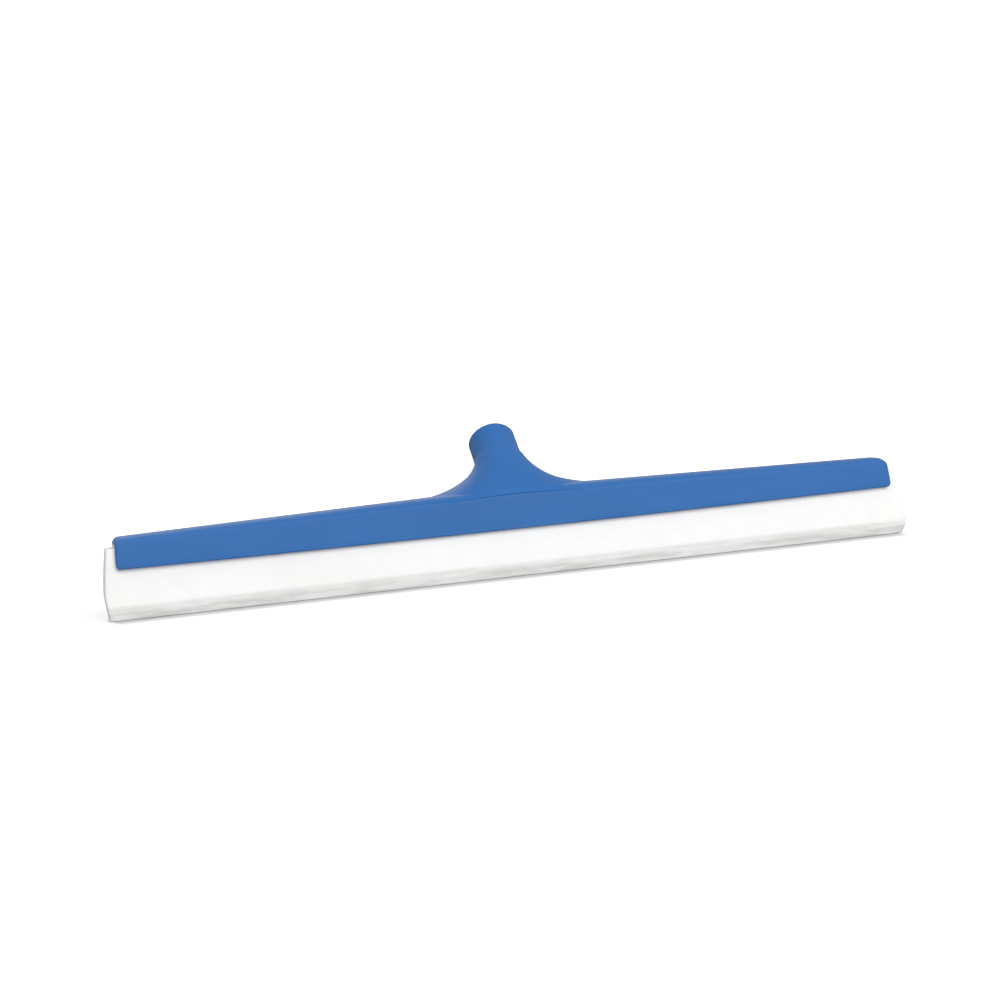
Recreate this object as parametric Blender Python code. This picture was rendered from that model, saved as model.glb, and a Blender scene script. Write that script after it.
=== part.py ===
"""Floor squeegee head: a moulded bar with a leaning handle socket, and a sliding cassette with two soft blades.

Metres, +Z up. X runs along the bar, -Y is the front and +Y the handle side. The blades stand on Z = 0, and the
origin is in the middle of the whole object's footprint. Lengths below are in millimetres, and MM turns them
into metres where a mesh is made.
"""

import math

import bpy
import bmesh
import numpy as np

MM = 0.001

# Bar of the head
BAR_HALF = 289.0              # half its length at the lower edge
BAR_EDGE_Z = 34.8             # height of the lower edge at mid length
BAR_EDGE_RISE = 1.4           # how much higher the lower edge is at the ends
BAR_DEPTH_HALF = 17.5         # half its depth, measured at FACE_FOOT_Z
FACE_FOOT_Z = 36.0
FACE_DRAFT = 0.021            # how far the front and rear faces lean in for each millimetre of height
END_DRAFT = 0.094             # the same for the two ends
SHOULDER_END_Z = 55.2         # top of the front face at the ends of the bar
SHOULDER_SLOPE = 0.0138       # its rise towards the middle
CROWN_END = 3.0               # height of the crowned top above the shoulder at the ends
CROWN_SLOPE = 0.0073          # its growth towards the middle
CROWN_POWER = 2.4             # how square the crown is
CROWN_CHAMFER = 4.5           # length over which the crown falls away at each end
EDGE_ROUND = 1.2              # rounding of the lower edges

# Channel inside the bar, open below and at both ends
CHANNEL_HALF = 15.4           # half its width
LIP_HALF = 13.9               # half the opening between its inturned lips
LIP_TOP_Z = 38.2
CHANNEL_TOP_Z = 53.7
CORE_HALF = 12.2              # half the width of the hollow above the channel
CORE_ROOF = 4.0               # thickness of the roof over the hollow, at mid width
CORE_END = 6.0                # solid length at each end of the bar
CORE_CELLS = 14               # the ribs divide the hollow into this many cells
RIB_THICK = 2.2
NECK_CORE_TOP_Z = 57.2        # the hollow stays this low under the neck

# Handle socket: its axis leans back from a point above the bar
SOCKET_TILT = math.radians(50.0)
AXIS_FOOT_Y = 6.0             # the axis passes over the bar here, at NECK_FOOT_Z
NECK_FOOT_Z = 62.0
MOUTH_ALONG = 55.7            # from that point to the mouth
TUBE_RADIUS = 17.6
NECK_END_Z = 80.0             # centre height at which the neck has become a round tube
NECK_BASE_Z = 54.5            # the neck's foot is buried in the bar down to here
NECK_BASE_DEPTH = 0.8         # and is this much shallower there
NECK_HALF = 75.0              # the flares end within this distance of the middle
MOUTH_ROUND = 1.0             # rounding of the outer rim
BORE_RADIUS = 11.8            # at the mouth, on the thread's crests
BORE_TAPER = 0.014
BORE_DEPTH = 41.0
THREAD_PITCH = 5.0
THREAD_DEPTH = 1.1
MOUTH_BEVEL = 1.4             # lead-in at the bore

# Neck: swept flares from the bar up to the tube
FLARE_TOP_Z = 83.8            # the flares end here, tangent to the tube
FLARE_HEIGHT = 22.0
FLARE_REACH = 52.6            # how far they run out beyond the tube
FLARE_POWER = 1.83
FRONT_POWER = 3.0             # the foot is a rounded rectangle in front, and becomes a circle
REAR_POWER = 1.35             # and it runs to a blunt point behind
NOSE = (np.array([-18.5, 58.0]), np.array([-12.0, 68.9]))     # the front curve's start, and where it aims
KEEL = (np.array([14.0, 52.0]), np.array([24.0, 52.6]))       # and the same under the tube

# Cassette: a plastic carrier with a roof, two side walls and a spine
CARRIER_HALF = 288.5          # half its length
CARRIER_WALL_OUT = 15.05
CARRIER_WALL_IN = 13.75
CARRIER_FOOT_Z = 38.6
CARRIER_ROOF_Z = 51.4
CARRIER_TOP_Z = 53.35
SPINE_HALF = 1.5
SPINE_FOOT_Z = 37.4
BARB = 1.1                    # how far the spine's barbs stand out
BARB_Z = (40.5, 45.5)

# Blades: two strips of cellular rubber
BLADE_TOP_HALF = 297.2        # half their length at the top
BLADE_FOOT_HALF = 300.0       # and just above the lip
BLADE_TOP_Z = 51.0
BLADE_INNER = 2.9             # from the middle plane
BLADE_OUTER = 13.4            # inside the carrier
BLADE_SPLAY = 1.0             # how far the outer face leans out at the lip
LIP_BEVEL_Z = 10.0            # height of the bevelled lip
LIP_BEVEL_Y = 2.6
LIP_END_ROUND = 0.8           # how much shorter the blade is at the lip
BLADE_PIVOT_Z = 37.0          # the blades bend about this height

# The origin is at the middle of the object's depth, so the bar's middle plane is off it
RIM_ALONG, RIM_RADIUS = MOUTH_ALONG - MOUTH_ROUND, TUBE_RADIUS - MOUTH_ROUND
RIM_REAR = RIM_ALONG * math.sin(SOCKET_TILT) + RIM_RADIUS * math.cos(SOCKET_TILT)
MOUTH_REAR = AXIS_FOOT_Y + RIM_REAR + MOUTH_ROUND
BAR_FRONT = BAR_DEPTH_HALF + FACE_DRAFT * (FACE_FOOT_Z - BAR_EDGE_Z)
BAR_Y = (BAR_FRONT - MOUTH_REAR) / 2


def clear_scene():
    """Remove whatever the scene holds."""
    for obj in list(bpy.data.objects):
        bpy.data.objects.remove(obj, do_unlink=True)


def plastic(name, colour, roughness):
    """A Principled material of one colour."""
    material = bpy.data.materials.new(name)
    material.use_nodes = True
    shader = material.node_tree.nodes["Principled BSDF"]
    shader.inputs["Base Color"].default_value = (*colour, 1.0)
    shader.inputs["Roughness"].default_value = roughness
    shader.inputs["Metallic"].default_value = 0.0
    return material


def loft(name, sections, origin=(0.0, 0.0, 0.0)):
    """A closed object skinned over rings of points in millimetres, with its origin at the given place."""
    mesh = bpy.data.meshes.new(name)
    shape = bmesh.new()
    shift = np.array(origin)
    rings = [[shape.verts.new(point - shift) for point in ring * MM] for ring in np.asarray(sections)]
    for low, high in zip(rings, rings[1:]):
        for i, corner in enumerate(low):
            j = (i + 1) % len(low)
            shape.faces.new((corner, low[j], high[j], high[i]))
    shape.faces.new(reversed(rings[0]))
    shape.faces.new(rings[-1])
    bmesh.ops.recalc_face_normals(shape, faces=shape.faces)
    shape.to_mesh(mesh)
    shape.free()
    obj = bpy.data.objects.new(name, mesh)
    bpy.context.collection.objects.link(obj)
    obj.location = origin
    return obj


def extrusion(name, outline, start, end):
    """An outline of (y, z) points about the bar's middle plane, extruded along X between two stations."""
    y, z = np.array(outline, float).T
    ends = [np.stack([np.full(len(y), x), y + BAR_Y, z], axis=1) for x in (start, end)]
    return loft(name, ends)


def cut(target, other, operation="DIFFERENCE"):
    """Join or cut with a hidden helper, by a Boolean that stays on the object."""
    other.hide_render = True
    other.display_type = "WIRE"
    modifier = target.modifiers.new(other.name, "BOOLEAN")
    modifier.operation = operation
    modifier.object = other
    modifier.solver = "EXACT"


def smooth(obj, degrees=32):
    """Shade round surfaces smooth and keep the edges crisp."""
    obj.data.shade_smooth()
    obj.data.set_sharp_from_angle(angle=math.radians(degrees))


def ease(value, low, high):
    """0 below low, 1 above high, and a smooth step between them."""
    part = np.clip((value - low) / (high - low), 0.0, 1.0)
    return part * part * (3.0 - 2.0 * part)


def face_half(z):
    """Half the bar's depth at a height: the front and rear faces lean in."""
    return BAR_DEPTH_HALF - FACE_DRAFT * (z - FACE_FOOT_Z)


def shoulder_and_crown(x):
    """Height of the top of the front face at a distance x from the middle, and of the crown above it."""
    inboard = BAR_HALF - abs(x)
    return SHOULDER_END_Z + SHOULDER_SLOPE * inboard, CROWN_END + CROWN_SLOPE * inboard


def bar_section(x, crown_share):
    """The bar's outline at a distance x from the middle, before the channel is cut."""
    foot = BAR_EDGE_Z + BAR_EDGE_RISE * (x / BAR_HALF) ** 2
    shoulder, crown = shoulder_and_crown(x)
    crown = crown * crown_share
    half = face_half(shoulder)
    across = half * np.sin(np.linspace(-0.5, 0.5, 15) * math.pi)
    top = np.stack([across, shoulder + crown * (1 - np.abs(across / half) ** CROWN_POWER)], axis=1)
    low, side = foot + EDGE_ROUND, face_half(foot) - EDGE_ROUND
    bends = np.radians([0.0, 30.0, 60.0, 90.0])
    rear = np.stack([side + EDGE_ROUND * np.cos(bends), low - EDGE_ROUND * np.sin(bends)], axis=1)
    outline = np.concatenate([top, rear, rear[::-1] * [-1, 1]])
    along = np.sign(x) * (abs(x) - END_DRAFT * (outline[:, 1] - foot) * (abs(x) / BAR_HALF) ** 4)
    return np.stack([along, outline[:, 0] + BAR_Y, outline[:, 1]], axis=1)


def make_bar():
    """The bar as one solid, with the crown falling away at its ends."""
    inner = np.linspace(-1, 1, 25) * (BAR_HALF - CROWN_CHAMFER)
    stations = [(-BAR_HALF, 0.0)] + [(x, 1.0) for x in inner] + [(BAR_HALF, 0.0)]
    return loft("head", [bar_section(x, share) for x, share in stations])


def along_axis(distance, off=0.0):
    """(y, z) of a point on the socket's axis, or off it by a distance towards the front and up."""
    y = AXIS_FOOT_Y + distance * math.sin(SOCKET_TILT) - off * math.cos(SOCKET_TILT)
    z = NECK_FOOT_Z + distance * math.cos(SOCKET_TILT) + off * math.sin(SOCKET_TILT)
    return np.array([y, z])


def bow(start, middle, end, share):
    """A point on the curve that leaves start towards middle and arrives at end from it."""
    return (1 - share) ** 2 * start + 2 * share * (1 - share) * middle + share**2 * end


def neck_section(centre_z, turn):
    """One ring of the neck and tube. Its widest points are at centre_z, on the flare's outline, and its front
    and rear points follow the nose and the keel, two curves that run from the bar onto the tube."""
    grown = (centre_z - NECK_FOOT_Z) / (NECK_END_Z - NECK_FOOT_Z)
    round_share = ease(grown, 0.0, 1.0)
    distance = (centre_z - NECK_FOOT_Z) / math.cos(SOCKET_TILT)
    tube_start = (NECK_END_Z - NECK_FOOT_Z) / math.cos(SOCKET_TILT)
    centre = along_axis(distance)
    front, rear = along_axis(distance, TUBE_RADIUS), along_axis(distance, -TUBE_RADIUS)
    if grown < 1.0:
        front = bow(*NOSE, along_axis(tube_start, TUBE_RADIUS), grown)
        rear = bow(*KEEL, along_axis(tube_start, -TUBE_RADIUS), grown)
    swept = np.clip((FLARE_TOP_Z - centre_z) / FLARE_HEIGHT, 0.0, 1.0)
    half_x = TUBE_RADIUS + FLARE_REACH * (1 - (1 - swept**FLARE_POWER) ** (1 / FLARE_POWER))
    corner = np.where(np.sin(turn) > 0, REAR_POWER, FRONT_POWER)
    power = corner + (2.0 - corner) * round_share
    across = np.sign(np.cos(turn)) * np.abs(np.cos(turn)) ** (2 / power)
    deep = np.abs(np.sin(turn)) ** (2 / power)
    towards = np.where(np.sin(turn)[:, None] > 0, rear, front) - centre
    y, z = (centre + towards * deep[:, None]).T
    return np.stack([half_x * across, y + BAR_Y, z], axis=1)


def make_neck():
    """The neck and the socket's tube, with a rounded rim."""
    turn = np.linspace(0, 2 * math.pi, 40, endpoint=False)
    mouth_z = along_axis(MOUTH_ALONG)[1]
    foot = neck_section(NECK_FOOT_Z, turn)
    buried = np.stack([foot[:, 0], NECK_BASE_DEPTH * foot[:, 1], np.full(len(turn), NECK_BASE_Z)], axis=1)
    rings = [buried] + [neck_section(z, turn) for z in np.linspace(NECK_FOOT_Z, NECK_END_Z, 19)]
    rim = neck_section(mouth_z, turn)
    middle = rim.mean(axis=0)
    axis = np.array([0.0, math.sin(SOCKET_TILT), math.cos(SOCKET_TILT)])
    for bend in np.radians([0.0, 45.0, 90.0]):
        inset = MOUTH_ROUND * (1 - math.cos(bend)) / TUBE_RADIUS
        back = MOUTH_ROUND * (1 - math.sin(bend))
        rings.append(middle + (rim - middle) * (1 - inset) - axis * back)
    return loft("neck_blank", rings)


def front_block():
    """What is in front of the bar's front face: the neck's nose is cut flush with it."""
    low, high = BAR_EDGE_Z - 5.0, 75.0
    shy = 0.02                # the nose ends a hair behind the face, so no two faces lie in one plane
    outline = [(-40.0, low), (shy - face_half(low), low), (shy - face_half(high), high), (-40.0, high)]
    return extrusion("front_block", outline, -NECK_HALF, NECK_HALF)


def make_bore():
    """The tapered blind bore with its coarse thread, as a solid to cut with."""
    axis = np.array([0.0, math.sin(SOCKET_TILT), math.cos(SOCKET_TILT)])
    normal = np.array([0.0, -math.cos(SOCKET_TILT), math.sin(SOCKET_TILT)])
    mouth = np.array([0.0, AXIS_FOOT_Y + BAR_Y, NECK_FOOT_Z]) + MOUTH_ALONG * axis
    turn = np.linspace(0, 2 * math.pi, 28, endpoint=False)
    spokes = np.cos(turn)[:, None] * np.array([1.0, 0.0, 0.0]) + np.sin(turn)[:, None] * normal
    rings = [mouth - BORE_DEPTH * axis + spokes * (BORE_RADIUS - BORE_TAPER * BORE_DEPTH - 2.0)]
    for depth in np.arange(BORE_DEPTH - 2.0, 3.0, -THREAD_PITCH / 5):
        phase = (depth / THREAD_PITCH - turn / (2 * math.pi)) % 1.0
        groove = THREAD_DEPTH * np.clip(2.2 - np.abs(phase - 0.5) * 6.6, 0.0, 1.0)
        fade = ease(depth, 3.0, 6.0) * ease(BORE_DEPTH - depth, 2.0, 7.0)
        radius = BORE_RADIUS - BORE_TAPER * depth + groove * fade
        rings.append(mouth - depth * axis + spokes * radius[:, None])
    rings.append(mouth - MOUTH_BEVEL * axis + spokes * BORE_RADIUS)
    rings.append(mouth + spokes * (BORE_RADIUS + MOUTH_BEVEL))
    rings.append(mouth + 3.0 * axis + spokes * (BORE_RADIUS + MOUTH_BEVEL))
    return loft("bore_blank", rings)


def make_channel():
    """The channel's outline, run right through the bar: a slot with inturned lips at its mouth."""
    outline = [
        (-LIP_HALF, BAR_EDGE_Z - 8.0),
        (LIP_HALF, BAR_EDGE_Z - 8.0),
        (LIP_HALF, LIP_TOP_Z),
        (CHANNEL_HALF, LIP_TOP_Z),
        (CHANNEL_HALF, CHANNEL_TOP_Z),
        (-CHANNEL_HALF, CHANNEL_TOP_Z),
        (-CHANNEL_HALF, LIP_TOP_Z),
        (-LIP_HALF, LIP_TOP_Z),
    ]
    return extrusion("channel_blank", outline, -BAR_HALF - 5.0, BAR_HALF + 5.0)


def core_top(x):
    """Height of the hollow's roof at a distance x from the middle."""
    level = sum(shoulder_and_crown(x)) - CORE_ROOF
    return min(level, NECK_CORE_TOP_Z) if abs(x) < NECK_HALF else level


def make_core(index):
    """One cell of the hollow above the channel, between two ribs."""
    pitch = 2 * (BAR_HALF - CORE_END) / CORE_CELLS
    start = -BAR_HALF + CORE_END + index * pitch + RIB_THICK / 2
    end = start + pitch - RIB_THICK
    roof, floor = min(core_top(start), core_top(end)), CHANNEL_TOP_Z - 1.0
    outline = [(-CORE_HALF, floor), (CORE_HALF, floor), (CORE_HALF, roof), (-CORE_HALF, roof)]
    return extrusion(f"core_blank_{index}", outline, start, end)


def make_head(material):
    """The blue moulding: bar, neck and socket in one piece, cored from below."""
    head = make_bar()
    neck = make_neck()
    cut(neck, front_block())
    cut(head, neck, "UNION")
    cut(head, make_bore())
    cut(head, make_channel())
    for index in range(CORE_CELLS):
        cut(head, make_core(index))
    head.data.materials.append(material)
    smooth(head)
    return head


def make_carrier(material):
    """The cassette's plastic profile: a roof, side walls outside the blades and a barbed spine between them."""
    half = [(CARRIER_WALL_OUT, CARRIER_FOOT_Z), (CARRIER_WALL_OUT, CARRIER_TOP_Z)]
    inside = [(SPINE_HALF, SPINE_FOOT_Z)]
    for z in BARB_Z:
        inside += [(SPINE_HALF, z - 0.6), (SPINE_HALF + BARB, z), (SPINE_HALF, z + 1.6)]
    inside += [
        (SPINE_HALF, CARRIER_ROOF_Z),
        (CARRIER_WALL_IN, CARRIER_ROOF_Z),
        (CARRIER_WALL_IN, CARRIER_FOOT_Z),
    ]
    right = inside + half
    left = [(-y, z) for y, z in reversed(right)]
    carrier = extrusion("carrier", right + left, -CARRIER_HALF, CARRIER_HALF)
    carrier.data.materials.append(material)
    return carrier


def make_blade(name, side, material):
    """One strip of cellular rubber, with a bevelled lip. Its origin is on the line that it bends about."""
    outline = [
        (BLADE_INNER, 0.0),
        (BLADE_OUTER + BLADE_SPLAY - LIP_BEVEL_Y, 0.0),
        (BLADE_OUTER + BLADE_SPLAY - 0.25 * LIP_BEVEL_Y, 0.55 * LIP_BEVEL_Z),
        (BLADE_OUTER + BLADE_SPLAY, LIP_BEVEL_Z),
        (BLADE_OUTER, CARRIER_FOOT_Z - 1.5),
        (BLADE_OUTER, BLADE_TOP_Z),
        (BLADE_INNER, BLADE_TOP_Z),
    ]
    if side < 0:
        outline = [(-y, z) for y, z in reversed(outline)]
    y, z = np.array(outline).T
    half = BLADE_TOP_HALF + (BLADE_FOOT_HALF - BLADE_TOP_HALF) * (1 - ease(z, LIP_BEVEL_Z, BLADE_TOP_Z))
    half = half - LIP_END_ROUND * (z < LIP_BEVEL_Z)
    pivot_y = side * (BLADE_INNER + BLADE_OUTER) / 2 + BAR_Y
    ends = [np.stack([way * half, y + BAR_Y, z], axis=1) for way in (-1.0, 1.0)]
    blade = loft(name, ends, (0.0, pivot_y * MM, BLADE_PIVOT_Z * MM))
    blade.data.materials.append(material)
    return blade


clear_scene()
blue = plastic("blue_polypropylene", (0.045, 0.165, 0.42), 0.42)
white = plastic("white_polypropylene", (0.82, 0.82, 0.80), 0.4)
foam = plastic("cellular_rubber", (0.86, 0.855, 0.84), 0.9)
make_head(blue)
make_carrier(white)
make_blade("front_blade", -1, foam)
make_blade("rear_blade", 1, foam)
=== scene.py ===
# %% [markdown]
# # A floor squeegee head
#
# The real object pulls water across a floor. Its head is one blue polypropylene moulding: a hollow bar with a
# threaded socket that leans back for a broom handle. A white cassette slides into the channel under the bar, and
# holds two soft strips of cellular rubber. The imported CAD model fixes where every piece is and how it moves. This
# lesson gives each piece its finished surface and material, in the same place.
#
# The frame comes first. It is in metres, with Z up, X along the bar and -Y the front. Lengths in this lesson are
# in millimetres, as on a drawing, and MM turns them into metres when a mesh is made.

# %% Load the frame
import math

import bpy
import numpy as np
from mathutils import Matrix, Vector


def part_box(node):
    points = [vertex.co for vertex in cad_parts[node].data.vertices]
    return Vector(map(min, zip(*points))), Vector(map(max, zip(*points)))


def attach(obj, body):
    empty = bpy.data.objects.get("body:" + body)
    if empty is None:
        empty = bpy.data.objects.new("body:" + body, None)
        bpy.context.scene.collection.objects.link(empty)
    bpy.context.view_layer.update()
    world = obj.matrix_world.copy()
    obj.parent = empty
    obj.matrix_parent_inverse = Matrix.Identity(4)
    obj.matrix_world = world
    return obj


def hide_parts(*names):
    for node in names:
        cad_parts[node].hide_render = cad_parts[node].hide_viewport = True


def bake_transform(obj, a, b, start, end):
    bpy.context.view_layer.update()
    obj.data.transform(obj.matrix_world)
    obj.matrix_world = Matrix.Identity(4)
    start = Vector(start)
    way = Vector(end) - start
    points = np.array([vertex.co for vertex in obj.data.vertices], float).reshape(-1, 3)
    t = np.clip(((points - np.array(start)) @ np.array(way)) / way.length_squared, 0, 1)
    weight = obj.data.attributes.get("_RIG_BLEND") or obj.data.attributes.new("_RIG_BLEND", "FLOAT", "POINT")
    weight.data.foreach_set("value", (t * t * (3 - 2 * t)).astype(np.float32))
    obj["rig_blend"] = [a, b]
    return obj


MM = 0.001
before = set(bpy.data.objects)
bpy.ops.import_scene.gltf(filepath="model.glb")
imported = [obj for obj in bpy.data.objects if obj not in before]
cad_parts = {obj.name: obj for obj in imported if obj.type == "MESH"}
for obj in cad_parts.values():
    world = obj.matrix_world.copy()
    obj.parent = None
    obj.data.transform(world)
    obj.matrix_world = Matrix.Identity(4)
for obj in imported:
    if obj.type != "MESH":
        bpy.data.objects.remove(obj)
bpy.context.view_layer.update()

# %% [markdown]
# Every piece starts from the box of the CAD node that it stands for, so it can't drift away from the model. The
# carrier lies in the bar's middle plane, which isn't at Y = 0, because the origin is in the middle of the whole
# footprint with the leaning socket counted in.

# %% Read the sizes of the CAD pieces
def box_mm(node):
    """The lowest and highest corner of a CAD node, in millimetres."""
    return [np.array(corner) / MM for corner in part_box(node)]


head_low, head_high = box_mm("head")
carrier_low, carrier_high = box_mm("carrier")
blade_low, blade_high = box_mm("front_blade")
middle_y = (carrier_low[1] + carrier_high[1]) / 2
bar_half = head_high[0]
bar_front = middle_y - head_low[1]
print(f"bar {2 * bar_half:.0f} mm long, its middle plane at Y = {middle_y:.2f} mm")

# %% [markdown]
# ## Surfaces from formulas
#
# A moulded bar, a socket and a rubber strip are all lofts: a ring of points changes slowly from one end to the
# other. So one function can skin them all. It takes an array of rings and joins each point to its neighbours in
# the same ring and in the next one. Whole arrays are numbered at once, with no loop over the vertices. A closed
# surface must also face outwards, so its volume is measured, and the faces are turned round if it is negative.

# %% Skin a stack of rings
def link(name, mesh):
    """An object for a mesh, in the scene."""
    obj = bpy.data.objects.new(name, mesh)
    bpy.context.scene.collection.objects.link(obj)
    return obj


def skin(name, rings):
    """A closed object over rings of points in millimetres, shaped (ring, point, xyz). Each point joins the next
    one in its ring and the same one in the next ring, and a flat face closes either end."""
    count, around = rings.shape[:2]
    number = np.arange(count * around).reshape(count, around)
    here, there = number[:-1], number[1:]
    quads = np.stack([here, np.roll(here, -1, 1), np.roll(there, -1, 1), there], axis=-1).reshape(-1, 4)
    points = rings.reshape(-1, 3) * MM
    middle = points - points.mean(axis=0)
    a, b, c, d = (middle[quads[:, k]] for k in range(4))
    volume = np.einsum("ij,ij->", np.cross(a, b), c) + np.einsum("ij,ij->", np.cross(a, c), d)
    faces = quads.tolist() + [number[0, ::-1].tolist(), number[-1].tolist()]
    mesh = bpy.data.meshes.new(name)
    mesh.from_pydata(points, [], [face[::-1] for face in faces] if volume < 0 else faces)
    mesh.validate()
    return link(name, mesh)


def ease(value, low, high):
    """0 below low, 1 above high, and 3t^2 - 2t^3 between them."""
    part = np.clip((value - low) / (high - low), 0.0, 1.0)
    return part * part * (3.0 - 2.0 * part)


def quarter(inward, radius):
    """How far a quarter round of this radius has still to rise, at a distance inward from where it starts."""
    left = np.clip(radius - inward, 0.0, radius)
    return radius - np.sqrt(radius**2 - left**2)


print("helpers for surfaces are ready")

# %% [markdown]
# No edge of a moulded or an extruded piece is perfectly sharp: the mould is rounded, and a round edge catches a
# fine line of light. The next function takes the corners of a cross-section and puts an arc into each of them.

# %% Round the corners of a section
def rounded(corners, radii, count=5):
    """A polygon with every corner replaced by an arc. The arc's centre is on the corner's bisector, and its two
    radii to the touching points are turned into each other (a spherical interpolation) to give count points."""
    corner = np.array(corners, float)
    radius = np.broadcast_to(np.array(radii, float), len(corner))[:, None]
    back, on = np.roll(corner, 1, axis=0) - corner, np.roll(corner, -1, axis=0) - corner
    back /= np.linalg.norm(back, axis=1, keepdims=True)
    on /= np.linalg.norm(on, axis=1, keepdims=True)
    bend = math.pi - np.arccos(np.clip((back * on).sum(axis=1, keepdims=True), -1.0, 1.0))
    inward = (back + on) / np.linalg.norm(back + on, axis=1, keepdims=True)
    centre = corner + inward * radius / np.cos(bend / 2)
    start = corner + back * radius * np.tan(bend / 2) - centre
    end = corner + on * radius * np.tan(bend / 2) - centre
    share = np.linspace(0.0, 1.0, count)[None, :, None]
    bend, start, end, centre = bend[:, None], start[:, None], end[:, None], centre[:, None]
    arc = centre + (np.sin((1 - share) * bend) * start + np.sin(share * bend) * end) / np.sin(bend)
    return arc.reshape(-1, 2)


def run_along_x(name, section, stations):
    """A section of (y, z) points about the bar's middle plane, carried along X through the stations."""
    y, z = section.T
    rings = [np.stack([np.full(len(y), x), y + middle_y, z], axis=1) for x in stations]
    return skin(name, np.array(rings))


print("a rounded square has", len(rounded([(0, 0), (4, 0), (4, 4), (0, 4)], 0.5)), "points")

# %% [markdown]
# Lofts alone don't make the head: the neck grows out of the bar, and the channel, the hollows and the threaded
# bore are cut away. Boolean modifiers do that exactly. They are applied at once, so the finished piece is a plain
# mesh, and its shading is smooth except where two surfaces meet at an angle.

# %% Join and cut solids
def join_or_cut(target, other, operation):
    """Apply one Boolean to the target and remove the other solid."""
    modifier = target.modifiers.new(other.name, "BOOLEAN")
    modifier.operation = operation
    modifier.object = other
    modifier.solver = "EXACT"
    graph = bpy.context.evaluated_depsgraph_get()
    made = bpy.data.meshes.new_from_object(target.evaluated_get(graph))
    target.modifiers.remove(modifier)
    old, target.data = target.data, made
    bpy.data.meshes.remove(old)
    bpy.data.objects.remove(other)


def shade(obj, degrees=30):
    """Smooth shading, with the edges sharper than this angle kept crisp."""
    obj.data.shade_smooth()
    obj.data.set_sharp_from_angle(angle=math.radians(degrees))


print("Booleans are ready")

# %% [markdown]
# ## The bar
#
# From the front the bar is a long plate whose lower edge is almost straight, while its top edge rises towards the
# middle, where the handle pulls hardest. Above the plate a low crown closes the section. Both heights grow evenly
# with the distance inboard from the end. The faces lean in a little, as they must to leave the mould.

# %% Heights of the bar
FACE_FOOT_Z = 36.0
FACE_DRAFT = 0.021
SHOULDER_END_Z, SHOULDER_SLOPE = 55.2, 0.0138
CROWN_END, CROWN_SLOPE = 3.0, 0.0073

bar_edge_z = head_low[2]
bar_depth_half = bar_front - FACE_DRAFT * (FACE_FOOT_Z - bar_edge_z)


def face_half(z):
    """Half the bar's depth at a height."""
    return bar_depth_half - FACE_DRAFT * (z - FACE_FOOT_Z)


def shoulder_and_crown(x):
    """Height of the plate's top edge at a distance x from the middle, and of the crown above it."""
    inboard = bar_half - np.abs(x)
    return SHOULDER_END_Z + SHOULDER_SLOPE * inboard, CROWN_END + CROWN_SLOPE * inboard


print("the plate is", np.round(shoulder_and_crown(0.0)[0] - bar_edge_z, 1), "mm tall in the middle")

# %% [markdown]
# Next comes the outline at one station. It goes up one side, over the crown and down the other: an arc at the foot,
# the leaning face, an arc at the shoulder, and the crown. The arc at the shoulder stops where its direction is the
# crown's own, so the two join without a corner. Towards an end the outline shrinks by a quarter round, the lower
# corner goes up by a larger one, and the crown falls away.

# %% One outline of the bar
EDGE_RISE = 1.4
CROWN_POWER, CROWN_FALL, LEAST_CROWN = 4.2, 3.2, 0.05
FOOT_ROUND, SHOULDER_ROUND, END_ROUND, CORNER_ROUND = 1.2, 0.8, 1.8, 3.4
FOOT_SHRINK = 0.2


def bar_outline(x):
    """The (y, z) outline at a station, with the heights of its foot and its shoulder. Above the shoulder the crown
    is crown * (1 - |y / half| ^ power), and within CROWN_FALL of an end its height follows a quarter circle."""
    inboard = bar_half - abs(x)
    shrink = quarter(inboard, END_ROUND)
    shoulder, crown = shoulder_and_crown(x)
    shoulder = shoulder - shrink
    crown = crown * math.sqrt(1.0 - (1.0 - min(inboard / CROWN_FALL, 1.0)) ** 2) + LEAST_CROWN
    foot = bar_edge_z + EDGE_RISE * (x / bar_half) ** 2 + quarter(inboard, CORNER_ROUND) + FOOT_SHRINK * shrink
    half = face_half(shoulder) - shrink
    slope = math.atan(CROWN_POWER * crown / half)
    tangent = SHOULDER_ROUND * math.tan(math.pi / 4 - slope / 2)
    turn = np.linspace(0.0, math.pi / 2 - slope, 6)[:-1]
    centre_y, centre_z = half - SHOULDER_ROUND, shoulder - tangent
    shoulder_arc = np.stack([centre_y + SHOULDER_ROUND * np.cos(turn), centre_z + SHOULDER_ROUND * np.sin(turn)], 1)
    across = np.linspace(1.0, -1.0, 41) * (half - tangent * math.cos(slope))
    crown_arc = np.stack([across, shoulder + crown * (1.0 - np.abs(across / half) ** CROWN_POWER)], 1)
    low_half = face_half(foot) - shrink
    down = np.radians(np.linspace(90.0, 0.0, 7))
    foot_arc = np.stack([low_half - FOOT_ROUND * (1 - np.cos(down)), foot + FOOT_ROUND * (1 - np.sin(down))], 1)
    face_share = np.linspace(0.0, 1.0, 8)[1:-1, None]
    face = foot_arc[-1] + face_share * (shoulder_arc[0] - foot_arc[-1])
    right = np.concatenate([foot_arc, face, shoulder_arc])
    return np.concatenate([right, crown_arc, right[::-1] * [-1, 1]]), foot, shoulder


print("the outline in the middle has", len(bar_outline(0.0)[0]), "points")

# %% [markdown]
# The two ends lean as well, the right one more than the left, and the crown more than the faces. So a ring isn't
# flat there: each of its points finds its own place along X from its height. The lean grows with a high power of
# the distance from the middle, so only the last stations feel it. Stations crowd together at the ends, where the
# rounding needs them.

# %% The bar's solid
END_DRAFT_LEFT, END_DRAFT_RIGHT, CROWN_LEAN, LEAN_POWER = 0.02, 0.12, 0.3, 8


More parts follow.
